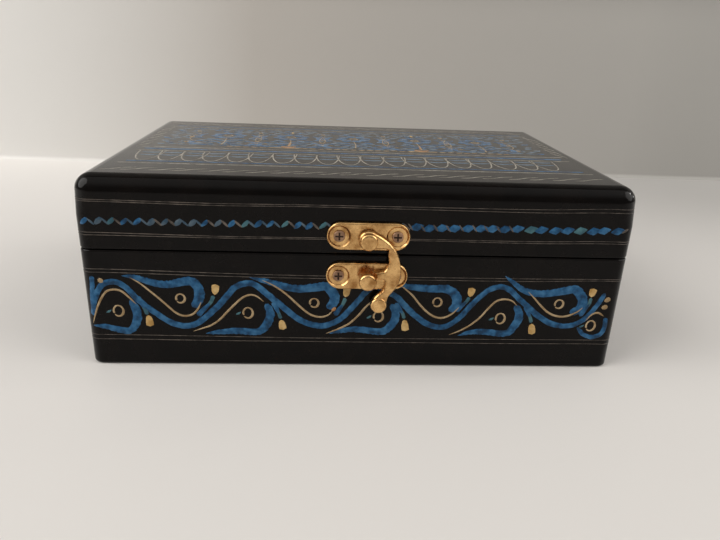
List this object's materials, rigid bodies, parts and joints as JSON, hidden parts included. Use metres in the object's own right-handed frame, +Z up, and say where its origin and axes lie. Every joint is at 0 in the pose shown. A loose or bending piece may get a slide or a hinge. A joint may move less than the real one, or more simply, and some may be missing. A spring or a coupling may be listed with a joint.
{
  "type": "painted papier mache box",
  "caption": "Rectangular lacquered papier mache box painted with a blue and gold vine, with a hinged lid, a velvet lining and a brass swing latch.",
  "frame": {"origin": "middle of the underside, on the surface the box stands on", "axes": "+X along the front to the right as seen from the front, +Y from the front to the back, +Z up"},
  "size_m": [0.19, 0.1357, 0.0686],
  "materials": {
    "lacquer": "black gloss lacquer over papier mache, painted in blue and gold",
    "lining": "short-pile velvet",
    "brass": "polished brass",
    "screw_brass": "dull brass-plated steel"
  },
  "bodies": {
    "base": {"base_floor_panel": "lacquer", "base_front_wall": "lacquer", "base_back_wall": "lacquer", "base_left_wall": "lacquer", "base_right_wall": "lacquer", "base_side_lining": "lining", "base_floor_lining": "lining", "left_hinge_base_leaf": "brass", "left_hinge_pin": "brass", "right_hinge_base_leaf": "brass", "right_hinge_pin": "brass", "hinge_base_screws": "screw_brass", "latch_base_plate": "brass", "latch_stud": "brass", "latch_base_screws": "screw_brass"},
    "lid": {"lid_top_panel": "lacquer", "lid_front_rail": "lacquer", "lid_back_rail": "lacquer", "lid_left_rail": "lacquer", "lid_right_rail": "lacquer", "lid_side_lining": "lining", "lid_top_lining": "lining", "left_hinge_lid_leaf": "brass", "right_hinge_lid_leaf": "brass", "hinge_lid_screws": "screw_brass", "latch_lid_plate": "brass", "latch_pivot_rivet": "brass", "latch_lid_screws": "screw_brass"},
    "latch_arm": {"latch_arm": "brass"}
  },
  "joints": [
    {"name": "lid_hinge", "type": "hinge", "parent": "base", "child": "lid", "pos_m": [0, 0.0628, 0.0435], "axis": [-1, 0, 0], "range_deg": [0, 105]},
    {"name": "latch_swing", "type": "hinge", "parent": "lid", "child": "latch_arm", "pos_m": [0.0023, -0.064, 0.0496], "axis": [0, -1, 0], "range_deg": [-4, 100]}
  ]
}
